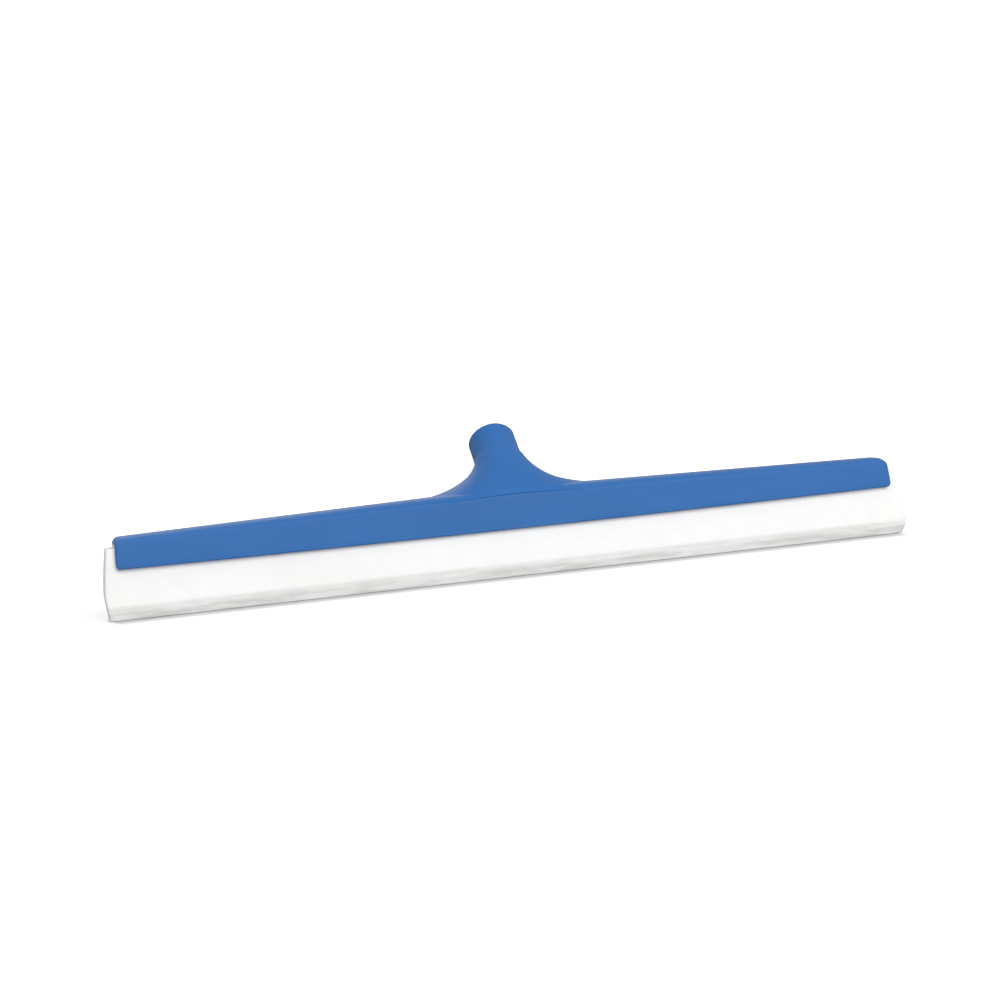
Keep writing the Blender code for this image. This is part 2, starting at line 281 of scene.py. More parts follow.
def bar_ring(x):
    """The outline at a station in space, with every point moved inboard by the lean of its end."""
    outline, foot, shoulder = bar_outline(x)
    draft = END_DRAFT_LEFT if x < 0 else END_DRAFT_RIGHT
    above = np.maximum(outline[:, 1] - shoulder, 0.0)
    lean = (draft * (outline[:, 1] - foot) + CROWN_LEAN * above) * (abs(x) / bar_half) ** LEAN_POWER
    return np.stack([np.sign(x) * (abs(x) - lean), outline[:, 0] + middle_y, outline[:, 1]], axis=1)


round_turn = np.radians(np.linspace(0.0, 90.0, 6))
near_end = np.concatenate([END_ROUND * (1 - np.cos(round_turn)), [2.2, 2.7, 3.2, 3.6, 4.0, 4.8, 6.0]])
evenly = np.linspace(-1, 1, 89) * (bar_half - 9.0)
stations = np.concatenate([near_end - bar_half, evenly, (bar_half - near_end)[::-1]])
head = skin("squeegee_head", np.array([bar_ring(x) for x in stations]))
print("bar:", len(head.data.polygons), "faces")

# %% [markdown]
# ## The neck and the socket
#
# The neck is the object's one sculpted shape. Seen from the front it sweeps from a wide foot into a round tube,
# and seen from the side the tube leans back, so that the handle comes up to the person who pulls it. Three curves
# settle it: the flares, which give its half width at each height, the nose in front, and the keel below the tube.
# Each ring is a superellipse, |x|^p + |y|^p = 1. At the foot its power p is 3 in front, which is blunt, and 1.35
# behind, which is keel-like, and on the way up both turn into a circle's 2.

# %% Curves of the neck
SOCKET_TILT = math.radians(50.0)
AXIS_FOOT_Y, NECK_FOOT_Z, NECK_END_Z = 6.0, 62.0, 80.0
MOUTH_ALONG, TUBE_RADIUS, MOUTH_ROUND = 55.7, 17.6, 1.0
FLARE_TOP_Z, FLARE_HEIGHT, FLARE_REACH, FLARE_POWER = 84.8, 23.0, 52.6, 1.68
FRONT_POWER, REAR_POWER = 3.0, 1.35
NOSE = np.array([[-18.5, 58.0], [-12.0, 68.9]])
KEEL = np.array([[14.0, 52.0], [24.0, 52.6]])
axis = np.array([0.0, math.sin(SOCKET_TILT), math.cos(SOCKET_TILT)])
upward = np.array([0.0, -math.cos(SOCKET_TILT), math.sin(SOCKET_TILT)])
foot = np.array([0.0, AXIS_FOOT_Y + middle_y, NECK_FOOT_Z])
mouth = foot + MOUTH_ALONG * axis
print("socket mouth at", np.round(mouth, 2), "mm")


def bow(start, middle, end, share):
    """A point on the curve (1-t)^2 start + 2t(1-t) middle + t^2 end."""
    return (1 - share) ** 2 * start + 2 * share * (1 - share) * middle + share**2 * end


def neck_ring(centre_z, turn):
    """The neck's ring whose widest points are at this height, with its front and rear points on nose and keel."""
    grown = (centre_z - NECK_FOOT_Z) / (NECK_END_Z - NECK_FOOT_Z)
    centre = foot + (centre_z - NECK_FOOT_Z) / math.cos(SOCKET_TILT) * axis
    front, rear = centre + TUBE_RADIUS * upward, centre - TUBE_RADIUS * upward
    if grown < 1.0:
        tube_start = foot + (NECK_END_Z - NECK_FOOT_Z) / math.cos(SOCKET_TILT) * axis
        shift = np.array([middle_y, 0.0])
        front[1:] = bow(*(NOSE + shift), (tube_start + TUBE_RADIUS * upward)[1:], grown)
        rear[1:] = bow(*(KEEL + shift), (tube_start - TUBE_RADIUS * upward)[1:], grown)
    swept = np.clip((FLARE_TOP_Z - centre_z) / FLARE_HEIGHT, 0.0, 1.0)
    half_x = TUBE_RADIUS + FLARE_REACH * (1 - (1 - swept**FLARE_POWER) ** (1 / FLARE_POWER))
    behind = np.sin(turn) > 0
    corner = np.where(behind, REAR_POWER, FRONT_POWER)
    power = corner + (2.0 - corner) * ease(grown, 0.0, 1.0)
    ring = centre + (np.where(behind[:, None], rear, front) - centre) * (np.abs(np.sin(turn)) ** (2 / power))[:, None]
    ring[:, 0] = half_x * np.sign(np.cos(turn)) * np.abs(np.cos(turn)) ** (2 / power)
    return ring


# %% [markdown]
# The neck is joined to the bar in three moves. Its foot is buried in the bar, its nose is cut flush with the front
# face, and only then are the two solids united. The rings are closest together near the foot, where the flares
# turn fastest. The rim of the tube gets its rounding from the last few rings, each a little smaller.

# %% Join the neck to the bar
NECK_BASE_Z, NECK_BASE_DEPTH, CLOSER_AT_FOOT, RIM_START = 54.5, 0.8, 1.3, 1.2
BLOCK_HALF, BLOCK_FRONT_Y, BLOCK_LOW_Z, BLOCK_HIGH_Z, BLOCK_LAP = 75.0, -40.0, 30.0, 75.0, 0.02

turn = np.linspace(0.0, 2 * math.pi, 192, endpoint=False)
base = neck_ring(NECK_FOOT_Z, turn) * [1.0, NECK_BASE_DEPTH, 1.0]
base[:, 2] = NECK_BASE_Z
heights = NECK_FOOT_Z + (NECK_END_Z - NECK_FOOT_Z) * np.linspace(0.0, 1.0, 61) ** CLOSER_AT_FOOT
tube_heights = np.linspace(NECK_END_Z, mouth[2] - RIM_START * math.cos(SOCKET_TILT), 12)[1:]
rings = [base] + [neck_ring(z, turn) for z in heights] + [neck_ring(z, turn) for z in tube_heights]
rim = neck_ring(mouth[2], turn) - mouth
for bend in np.radians(np.linspace(0.0, 90.0, 7)):
    narrow = 1 - MOUTH_ROUND * (1 - math.cos(bend)) / TUBE_RADIUS
    rings.append(mouth + rim * narrow - axis * MOUTH_ROUND * (1 - math.sin(bend)))
neck = skin("neck", np.array(rings))

face_side = [(BLOCK_LAP - face_half(z), z) for z in (BLOCK_LOW_Z, BLOCK_HIGH_Z)]
in_front = np.array([(BLOCK_FRONT_Y, BLOCK_LOW_Z), *face_side, (BLOCK_FRONT_Y, BLOCK_HIGH_Z)])
join_or_cut(neck, run_along_x("front_block", in_front, (-BLOCK_HALF, BLOCK_HALF)), "DIFFERENCE")
join_or_cut(head, neck, "UNION")
print("bar with neck:", len(head.data.polygons), "faces")

# %% [markdown]
# Where the top edge of the front face passes the neck, the mould leaves a fine dark line that arches over the
# middle and fades out on both sides. It is a shallow groove, so it is cut as one: a slim diamond section follows
# the arch, and shrinks to nothing at its ends. Rays from the front find where the surface is along the arch, so the
# groove is equally deep everywhere.

# %% Cut the arched groove
GROOVE_Z, GROOVE_DROP, GROOVE_DROP_AT, GROOVE_HALF, GROOVE_SIZE = 60.2, 2.0, 50.0, 52.0, 0.5
RAYS_FROM = -0.2

groove_x = np.linspace(-1.0, 1.0, 65) * GROOVE_HALF
groove_z = GROOVE_Z - GROOVE_DROP * (groove_x / GROOVE_DROP_AT) ** 2
size = GROOVE_SIZE * (1.0 - np.abs(groove_x / (GROOVE_HALF + 1.0)) ** 5)
head.data.update()
hits = [head.ray_cast((x * MM, RAYS_FROM, z * MM), (0.0, 1.0, 0.0))[1] for x, z in zip(groove_x, groove_z)]
groove_path = np.array([[list(hit)] for hit in hits]) / MM
diamond = np.array([[0.0, 1.0, 0.0], [0.0, 0.0, 0.9], [0.0, -1.0, 0.0], [0.0, 0.0, -0.9]])
join_or_cut(head, skin("groove", groove_path + diamond * size[:, None, None]), "DIFFERENCE")
print("the groove is", 2 * GROOVE_SIZE, "mm deep and wide at most")

# %% [markdown]
# ## The socket's bore
#
# A broom handle screws into the socket, so the bore carries a coarse thread. In cylinder coordinates a thread is
# simple: the wall's radius depends on depth / pitch - turn / 360 degrees, and on nothing else. That number goes
# from 0 to 1 once a pitch, the wall steps out in the middle of it, and the step fades at both ends of the thread.

# %% Cut the threaded bore
BORE_RADIUS, BORE_TAPER, BORE_DEPTH = 11.8, 0.014, 41.0
THREAD_PITCH, THREAD_DEPTH, THREAD_TOP, THREAD_FLANK, MOUTH_BEVEL = 5.0, 1.1, 2.2, 6.6, 1.4
FADE_AT_MOUTH, FADE_AT_BOTTOM = (3.0, 6.0), (2.0, 7.0)

turn = np.linspace(0.0, 2 * math.pi, 96, endpoint=False)
spokes = np.cos(turn)[:, None] * np.array([1.0, 0.0, 0.0]) + np.sin(turn)[:, None] * upward
depth = np.arange(BORE_DEPTH - 1.0, MOUTH_BEVEL + 0.2, -THREAD_PITCH / 18)[:, None]
phase = (depth / THREAD_PITCH - turn / (2 * math.pi)) % 1.0
thread = THREAD_DEPTH * ease(THREAD_TOP - np.abs(phase - 0.5) * THREAD_FLANK, 0.0, 1.0)
thread = thread * ease(depth, *FADE_AT_MOUTH) * ease(BORE_DEPTH - depth, *FADE_AT_BOTTOM)
radius = BORE_RADIUS - BORE_TAPER * depth + thread
walls = mouth - depth[..., None] * axis + spokes * radius[..., None]
bottom = mouth - BORE_DEPTH * axis + spokes * (BORE_RADIUS - BORE_TAPER * BORE_DEPTH - 1.0)
lead = [(MOUTH_BEVEL, 0.0), (0.3, 1.1), (0.0, MOUTH_BEVEL + 0.15), (-3.0, MOUTH_BEVEL + 0.15)]
lead_in = [mouth - down * axis + spokes * (BORE_RADIUS + out) for down, out in lead]
bore = skin("bore", np.concatenate([bottom[None], walls, np.array(lead_in)]))
join_or_cut(head, bore, "DIFFERENCE")
print("thread:", round(BORE_DEPTH / THREAD_PITCH), "turns at", THREAD_PITCH, "mm")

# %% [markdown]
# ## The channel and the hollows
#
# Underneath, the bar is a slot with two inturned lips, which hold the cassette, and it is open at both ends. The
# slot's cutter opens out a little at the ends, which leaves a small chamfer there.

# %% Cut the channel
LIP_HALF, LIP_TOP_Z, CHANNEL_HALF, CHANNEL_TOP_Z = 13.9, 38.2, 15.4, 53.7
OVERRUN, CHAMFER_FROM, CHAMFER_TO, CHAMFER = 5.0, 0.9, 1.9, 0.5

right_side = [(LIP_HALF, bar_edge_z - 8.0), (LIP_HALF, LIP_TOP_Z), (CHANNEL_HALF, LIP_TOP_Z)]
right_side.append((CHANNEL_HALF, CHANNEL_TOP_Z))
slot = rounded(right_side + [(-y, z) for y, z in reversed(right_side)], [0.4, 0.4, 0.3, 0.5, 0.5, 0.3, 0.4, 0.4])
wide = 1.0 + CHAMFER / CHANNEL_HALF
right_end = [(bar_half - CHAMFER_TO, 1.0), (bar_half - CHAMFER_FROM, wide), (bar_half + OVERRUN, wide)]
channel_rings = [
    np.stack([np.full(len(slot), x), slot[:, 0] * width + middle_y, slot[:, 1]], axis=1)
    for x, width in [(-x, width) for x, width in reversed(right_end)] + right_end
]
join_or_cut(head, skin("channel", np.array(channel_rings)), "DIFFERENCE")
print("channel:", 2 * CHANNEL_HALF, "mm wide between lips", 2 * LIP_HALF, "mm apart")

# %% [markdown]
# Above the slot the moulding is hollowed out into cells between thin cross ribs, so that no wall is thick enough to
# sink as it cools. The cells follow the crown, except under the neck, where they stay low and leave it solid.

# %% Hollow out the cells
CELLS, CELL_HALF, CELL_ROOF, CELL_END, RIB = 14, 12.2, 4.0, 6.0, 2.2
NECK_CELL_TOP_Z, NECK_HALF = 57.2, 75.0

pitch = 2 * (bar_half - CELL_END) / CELLS
for number in range(CELLS):
    start = -bar_half + CELL_END + number * pitch + RIB / 2
    ends = np.array([start, start + pitch - RIB])
    level = np.add(*shoulder_and_crown(ends)) - CELL_ROOF
    roof = np.where(np.abs(ends) < NECK_HALF, np.minimum(level, NECK_CELL_TOP_Z), level).min()
    low = CHANNEL_TOP_Z - 1.0
    cell = rounded([(-CELL_HALF, low), (CELL_HALF, low), (CELL_HALF, roof), (-CELL_HALF, roof)], 0.6, 4)
    join_or_cut(head, run_along_x("cell", cell, ends), "DIFFERENCE")
shade(head)
print("head:", len(head.data.polygons), "faces")

# %% [markdown]
# The finished head stands for the CAD head, and rides on its body.

# %% Put the head in its place
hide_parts("head")
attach(head, "head")

# %% [markdown]
# ## The cassette's carrier
#
# The carrier is a white plastic profile, so it is one section carried straight along X: a roof that slides in the
# channel, two side walls outside the rubber, and a spine between the two strips whose barbs grip them. Its ends
# are sawn off square, so they stay sharp, while every long edge has a small radius from the die.

# %% Make the carrier
WALL_IN, WALL_FOOT_Z, ROOF_Z, SPINE_HALF = 13.75, 38.6, 51.4, 1.5
BARB_HEIGHTS = (45.5, 40.5)
BARB = ((0.0, 1.6), (1.1, 0.0), (0.0, -0.6))

wall_out, roof_top, spine_foot = carrier_high[1] - middle_y, carrier_high[2], carrier_low[2]
profile = [(wall_out, WALL_FOOT_Z), (wall_out, roof_top), (-wall_out, roof_top), (-wall_out, WALL_FOOT_Z)]
radii = [0.3, 0.45, 0.45, 0.3]
left_barbs = [(-SPINE_HALF - out, z + up) for z in BARB_HEIGHTS for out, up in BARB]
left = [(-WALL_IN, WALL_FOOT_Z), (-WALL_IN, ROOF_Z), (-SPINE_HALF, ROOF_Z), *left_barbs, (-SPINE_HALF, spine_foot)]
profile += left + [(-y, z) for y, z in reversed(left)]
left_radii = [0.3, 0.6, 0.5] + [0.2, 0.15, 0.15] * len(BARB_HEIGHTS) + [0.5]
radii += left_radii + left_radii[::-1]
sawn = carrier_high[0] * np.array([-1.0, -0.9995, 0.9995, 1.0])
carrier = run_along_x("cassette_carrier", rounded(profile, radii), sawn)
shade(carrier, 25)
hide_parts("carrier")
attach(carrier, "cassette")
print("carrier:", len(carrier.data.polygons), "faces,", round(2 * carrier_high[0]), "mm long")

# %% [markdown]
# ## The rubber strips
#
# Each strip is a long block of cellular rubber with a bevelled lip. It is cut from foamed sheet, so it is never
# quite straight: its face has shallow waves, its corners are soft, and its ends lean out a little towards the
# floor. Seen from above, the outer edge at each end is rounded more than the inner one. The bevel has a knee in it,
# so that it starts gently. The section's corners are rounded first, and the outline is then walked at even steps,
# so that the waves have points to move everywhere.

# %% Section of a strip
BEVEL_Z, BEVEL_Y, OUTER_Y, INNER_Y, SPLAY_Y = 10.0, 3.6, 13.4, 2.9, 1.0
KNEE_Y, KNEE_Z, UPRIGHT_FROM_Z = 0.35, 0.55, 37.1
OUTER_END, OUTER_EASE, OUTER_EASE_LENGTH, SOFT = 1.3, 1.0, 9.0, 0.7


def even_steps(section, count):
    """The same closed outline with its points at equal distances along it."""
    closed = np.concatenate([section, section[:1]])
    along = np.concatenate([[0.0], np.cumsum(np.linalg.norm(np.diff(closed, axis=0), axis=1))])
    at = np.linspace(0.0, along[-1], count, endpoint=False)
    return np.stack([np.interp(at, along, closed[:, k]) for k in (0, 1)], axis=1)


def strip_section(inboard):
    """A strip's (y, z) outline at a distance inboard from its end, where the corners draw it in."""
    lip_y, top_z = OUTER_Y + SPLAY_Y, blade_high[2]
    soft = quarter(inboard, SOFT)
    outer = quarter(inboard, OUTER_END) + OUTER_EASE * max(1 - inboard / OUTER_EASE_LENGTH, 0.0) ** 2
    corners = [
        (INNER_Y + soft, soft),
        (lip_y - BEVEL_Y - outer, soft),
        (lip_y - KNEE_Y * BEVEL_Y - outer, KNEE_Z * BEVEL_Z),
        (lip_y - outer, BEVEL_Z),
        (OUTER_Y - outer, UPRIGHT_FROM_Z),
        (OUTER_Y - outer, top_z - soft),
        (INNER_Y + soft, top_z - soft),
    ]
    return even_steps(rounded(corners, [0.4, 0.8, 3.0, 4.0, 8.0, 0.9, 0.5], 9), 180)


print("a strip's outline is", np.round(np.ptp(strip_section(50.0), axis=0), 1), "mm")

# %% [markdown]
# The ends lean, the right one most, so each point of a ring finds its own place along X from its height. Since the
# end isn't flat, it can't be closed with one face. Instead the last ring is repeated smaller and smaller towards
# its middle, and these rings find their places in the same way.

# %% Make the two strips
LEFT_END = {"furthest": 298.3, "belly": 18.0, "lean": 3.6, "lean_power": 1.3, "tuck": 2.0, "tuck_power": 1.2}
RIGHT_END = {"furthest": 300.0, "belly": 8.0, "lean": 10.0, "lean_power": 1.7, "tuck": 2.5, "tuck_power": 2.0}
WAVES = ((0.16, 3.9, 0.11, 0.3), (0.12, 9.5, -0.05, 1.7), (0.05, 1.7, 0.31, 0.9))
END_STATIONS = np.array([0.0, 0.05, 0.2, 0.45, 0.8, 1.3, 1.9, 2.6, 3.4, 4.4])
INNER_STATIONS = np.linspace(6.5, 590.0, 200)
CAP_SHARES = np.array([0.85, 0.65, 0.4, 0.15])[:, None, None]
WAVE_SHARE, WAVY_FROM_Y, WAVY_BELOW_Z = 0.5, (6.0, 11.0), (33.0, 37.0)


def reach(z, end):
    """How far an end stands out at a height: furthest at its belly, less by a power of the distance from it."""
    above = np.clip((z - end["belly"]) / (blade_high[2] - end["belly"]), 0.0, 1.0)
    below = np.clip(1 - z / end["belly"], 0.0, 1.0)
    return end["furthest"] - end["lean"] * above ** end["lean_power"] - end["tuck"] * below ** end["tuck_power"]


def wavy(x, y, z):
    """Shallow waves in the outer face: a sum of sines of x and z, which only move it inwards."""
    dip = sum(size * (1 + np.sin(x / length + slant * z + start)) for size, length, slant, start in WAVES)
    return y - dip * ease(y, *WAVY_FROM_Y) * (1 - ease(z, *WAVY_BELOW_Z)) * WAVE_SHARE


def strip(name, side):
    """One strip, with side -1 for the front one and 1 for the rear one."""
    rings = []
    for inboard in np.concatenate([END_STATIONS, INNER_STATIONS, 2 * blade_high[0] - END_STATIONS[::-1]]):
        section = strip_section(min(inboard, 2 * blade_high[0] - inboard))
        y, z = section.T
        share = inboard / blade_high[0] - 1
        x = share * reach(z, LEFT_END if share < 0 else RIGHT_END)
        rings.append(np.stack([x, side * wavy(x, y, z) + middle_y, z], axis=1))
    for ring, end, out in ((rings[0], LEFT_END, -1), (rings[-1], RIGHT_END, 1)):
        middle = ring.mean(axis=0)
        inner = middle + CAP_SHARES * (ring - middle)
        inner[..., 0] = out * reach(inner[..., 2], end)
        rings = [*inner[::-1], *rings] if out < 0 else [*rings, *inner]
    obj = skin(name, np.array(rings))
    shade(obj, 40)
    return obj


strips = [strip("front_strip", -1), strip("rear_strip", 1)]
print("strips:", [len(obj.data.polygons) for obj in strips], "faces")

# %% [markdown]
# A real strip stays clamped in the carrier and bends below it. So the strip doesn't ride on one body: it follows
# the cassette down to the carrier's foot and the CAD strip's own body near the lip, and turns smoothly between.

# %% Let the strips bend
BEND_FROM_Z, BEND_TO_Z = 41.0, 20.0

for obj, side in zip(strips, ("front", "rear")):
    y = np.mean([corner[1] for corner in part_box(side + "_blade")])
    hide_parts(side + "_blade")
    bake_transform(obj, "cassette", side + "_blade", start=(0, y, BEND_FROM_Z * MM), end=(0, y, BEND_TO_Z * MM))
print("the strips bend between", BEND_FROM_Z, "and", BEND_TO_Z, "mm above the floor")

# %% [markdown]
# ## Finishes
#
# All three materials are plain to look at, and live from small things: colour that isn't quite even, a fine grain
# that breaks up the highlights, and marks where the tool is handled or meets the floor, the latter with painted shade
# in it. These effects are shared, so each is a node group with named inputs, and each material sets its own values.
# Three short functions place a node, start a group, and turn a size into the scale of a texture.

# %% Tools for node trees
def put(tree, kind, place, **values):
    """A node at a place in the editor, with values for its inputs or its own settings by name."""
    made = tree.nodes.new(kind)
    made.location = place
    for name, value in values.items():
        plain = name.replace("_", " ").title()
        if plain in made.inputs:
            made.inputs[plain].default_value = value
        else:
            setattr(made, name, value)
    return made


def new_group(name, inputs, outputs):
    """An empty node group with sockets, and its two end nodes. An input is a name and a default value."""
    tree = bpy.data.node_groups.new(name, "ShaderNodeTree")
    for label, default in inputs.items():
        kind = "NodeSocketVector" if default is None else "NodeSocketFloat"
        socket = tree.interface.new_socket(name=label, in_out="INPUT", socket_type=kind)
        if default is not None:
            socket.default_value = default
    for label in outputs:
        tree.interface.new_socket(name=label, in_out="OUTPUT", socket_type="NodeSocketFloat")
    return tree, put(tree, "NodeGroupInput", (-600, 0)).outputs, put(tree, "NodeGroupOutput", (600, 0)).inputs


def one_over(tree, place, socket):
    """The value 1 / x of a socket, which makes a texture's scale from a size in metres."""
    made = put(tree, "ShaderNodeMath", place, operation="DIVIDE")
    made.inputs[0].default_value = 1.0
    tree.links.new(socket, made.inputs[1])
    return made.outputs[0]


print("node tools are ready")

# %% [markdown]
# The first group is a patchy share from 0 to 1: noise in object coordinates, which can be stretched along the bar,
# as an extruded or a wiped surface is. The contrast is the half width of the noise values that the share spans.

# %% Patches of colour or gloss
values = {"Position": None, "Size": 0.03, "Stretch": 1.0, "Contrast": 0.2}
patches, given, result = new_group("patches", values, ["Share"])
along = put(patches, "ShaderNodeCombineXYZ", (-250, 150), Y=1.0, Z=1.0)
patches.links.new(one_over(patches, (-400, 150), given["Stretch"]), along.inputs["X"])
moved = put(patches, "ShaderNodeVectorMath", (-100, 100), operation="MULTIPLY")
patches.links.new(given["Position"], moved.inputs[0])
patches.links.new(along.outputs[0], moved.inputs[1])
noise = put(patches, "ShaderNodeTexNoise", (50, 100), detail=4.0, roughness=0.55)
patches.links.new(moved.outputs[0], noise.inputs["Vector"])
patches.links.new(one_over(patches, (-250, -100), given["Size"]), noise.inputs["Scale"])
share = put(patches, "ShaderNodeMapRange", (300, 50), interpolation_type="SMOOTHSTEP")
patches.links.new(noise.outputs["Fac"], share.inputs["Value"])
for height, operation, socket in ((-150, "SUBTRACT", "From Min"), (-300, "ADD", "From Max")):
    limit = put(patches, "ShaderNodeMath", (50, height), operation=operation)
    limit.inputs[0].default_value = 0.5
    patches.links.new(given["Contrast"], limit.inputs[1])
    patches.links.new(limit.outputs[0], share.inputs[socket])
patches.links.new(share.outputs[0], result["Share"])
print("group:", patches.name)

# %% [markdown]
# The second group is a band: 1 below a height and 0 above another, with a smooth step between. It finds the lip of
# a strip, or the lower edge of the bar.

# %% Bands of height
values = {"Position": None, "Full Below": 0.0, "None Above": 0.01}
band, given, result = new_group("band_of_height", values, ["Share"])
split = put(band, "ShaderNodeSeparateXYZ", (-300, 0))
band.links.new(given["Position"], split.inputs[0])
step = put(band, "ShaderNodeMapRange", (0, 0), interpolation_type="SMOOTHSTEP")
step.inputs["To Min"].default_value = 1.0
step.inputs["To Max"].default_value = 0.0
band.links.new(split.outputs["Z"], step.inputs["Value"])
band.links.new(given["Full Below"], step.inputs["From Min"])
band.links.new(given["None Above"], step.inputs["From Max"])
band.links.new(step.outputs[0], result["Share"])

print("group:", band.name)

# %% [markdown]
# The third is a grain for bumps: noise of two sizes, mixed.

# %% Grain
values = {"Position": None, "Coarse Size": 0.004, "Fine Size": 0.0008, "Fine Share": 0.5}
grain, given, result = new_group("grain", values, ["Height"])
blend = put(grain, "ShaderNodeMix", (150, 0), data_type="FLOAT")
grain.links.new(given["Fine Share"], blend.inputs["Factor"])
for label, height, socket in (("Coarse Size", 150, "A"), ("Fine Size", -150, "B")):
    noise = put(grain, "ShaderNodeTexNoise", (-150, height), detail=3.0, roughness=0.5)
    grain.links.new(given["Position"], noise.inputs["Vector"])
    grain.links.new(one_over(grain, (-350, height), given[label]), noise.inputs["Scale"])
    grain.links.new(noise.outputs["Fac"], blend.inputs[socket])
grain.links.new(blend.outputs[0], result["Height"])
print("group:", grain.name)

# %% [markdown]
# Each material starts in the same way: object coordinates feed the groups, a mix of two close colours feeds Base
# Color, and a Bump node turns the grain into a normal. The shader itself stays in the material. Numbers that are
# the same all over, such as the gloss of the rubber, are set on the shader's own sockets.

# %% Start a material
def start_material(name):
    """A material, its tree, its shader and the socket of object coordinates."""
    material = bpy.data.materials.new(name)
    material.use_nodes = True
    tree = material.node_tree
    shader = tree.nodes["Principled BSDF"]
    shader.location = (700, 0)
    tree.nodes["Material Output"].location = (1000, 0)
    position = put(tree, "ShaderNodeTexCoord", (-900, 0)).outputs["Object"]
    return material, tree, shader, position


def use(tree, group, place, position, **values):
    """A group placed in a material, with its values, and its first output."""
    made = put(tree, "ShaderNodeGroup", place)
    made.node_tree = group
    made.label = group.name.replace("_", " ")
    tree.links.new(position, made.inputs["Position"])
    for name, value in values.items():
        made.inputs[name.replace("_", " ").title()].default_value = value
    return made.outputs[0]


def mix_colours(tree, place, share, below, above):
    """A mix of two colours by a share. Either colour may be a value or a socket."""
    made = put(tree, "ShaderNodeMix", place, data_type="RGBA")
    tree.links.new(share, made.inputs[0])
    for socket, colour in ((made.inputs[6], below), (made.inputs[7], above)):
        if isinstance(colour, tuple):
            socket.default_value = (*colour, 1.0)
        else:
            tree.links.new(colour, socket)
    return made.outputs[2]


def scale_share(tree, place, share, most, other=None):
    """A share times a number, and times another share if one is given."""
    made = put(tree, "ShaderNodeMath", place, operation="MULTIPLY")
    made.inputs[1].default_value = most
    tree.links.new(share, made.inputs[0])
    if other is None:
        return made.outputs[0]
    both = put(tree, "ShaderNodeMath", (place[0] + 150, place[1]), operation="MULTIPLY")
    tree.links.new(made.outputs[0], both.inputs[0])
    tree.links.new(other, both.inputs[1])
    return both.outputs[0]


def ramp_roughness(tree, place, share, low, high):
    """A roughness between two values, by a share."""
    made = put(tree, "ShaderNodeMapRange", place)
    made.inputs["To Min"].default_value = low
    made.inputs["To Max"].default_value = high
    tree.links.new(share, made.inputs["Value"])
    return made.outputs[0]


def bumpy(tree, place, height, distance, strength, shader):
    """A Bump node from a height to the shader's normal. The distance is in metres."""
    made = put(tree, "ShaderNodeBump", place, strength=strength, distance=distance)
    tree.links.new(height, made.inputs["Height"])
    tree.links.new(made.outputs[0], shader.inputs["Normal"])


print("material tools are ready")

# %% [markdown]
# The head is mid-blue polypropylene, dyed right through. Its moulded skin is satin, with a spark-eroded grain too
# fine to see one by one. Where the melt flowed there are faint lighter and darker patches, and along the lower
# edge, which knocks against walls, the skin is rubbed a little paler.

# %% Blue polypropylene
blue, tree, shader, position = start_material("blue_polypropylene")
flow = use(tree, patches, (-600, 300), position, size=0.05, stretch=2.5, contrast=0.22)
body = mix_colours(tree, (-100, 300), flow, (0.0285, 0.140, 0.410), (0.0335, 0.153, 0.436))
edge = use(tree, band, (-600, 60), position, full_below=0.0352, none_above=0.0385)
rub = use(tree, patches, (-600, -100), position, size=0.012, stretch=3.0, contrast=0.12)
rubbed = scale_share(tree, (-300, 0), rub, 0.25, edge)
colour = mix_colours(tree, (250, 300), rubbed, body, (0.10, 0.24, 0.50))
tree.links.new(colour, shader.inputs["Base Color"])
tree.links.new(ramp_roughness(tree, (250, 0), flow, 0.42, 0.52), shader.inputs["Roughness"])
skin_grain = use(tree, grain, (-600, -350), position, coarse_size=0.006, fine_size=0.0007, fine_share=0.6)
bumpy(tree, (250, -350), skin_grain, 0.00012, 0.35, shader)
shader.inputs["IOR"].default_value = 1.49
shader.inputs["Specular IOR Level"].default_value = 0.26
head.data.materials.clear()
head.data.materials.append(blue)
print("head:", blue.name)

# %% [markdown]
# The carrier is white polypropylene, drawn through a die, so its patches are long streaks. It is seen only at its
# ends, from below and when it slides out.

# %% White polypropylene
white, tree, shader, position = start_material("white_polypropylene")
streaks = use(tree, patches, (-600, 300), position, size=0.004, stretch=30.0, contrast=0.25)
colour = mix_colours(tree, (0, 300), streaks, (0.72, 0.72, 0.70), (0.80, 0.80, 0.785))
tree.links.new(colour, shader.inputs["Base Color"])
tree.links.new(ramp_roughness(tree, (0, 0), streaks, 0.38, 0.5), shader.inputs["Roughness"])
drawn = use(tree, grain, (-600, -350), position, coarse_size=0.005, fine_size=0.0008, fine_share=0.5)
bumpy(tree, (250, -350), drawn, 0.0001, 0.3, shader)
carrier.data.materials.append(white)
print("carrier:", white.name)
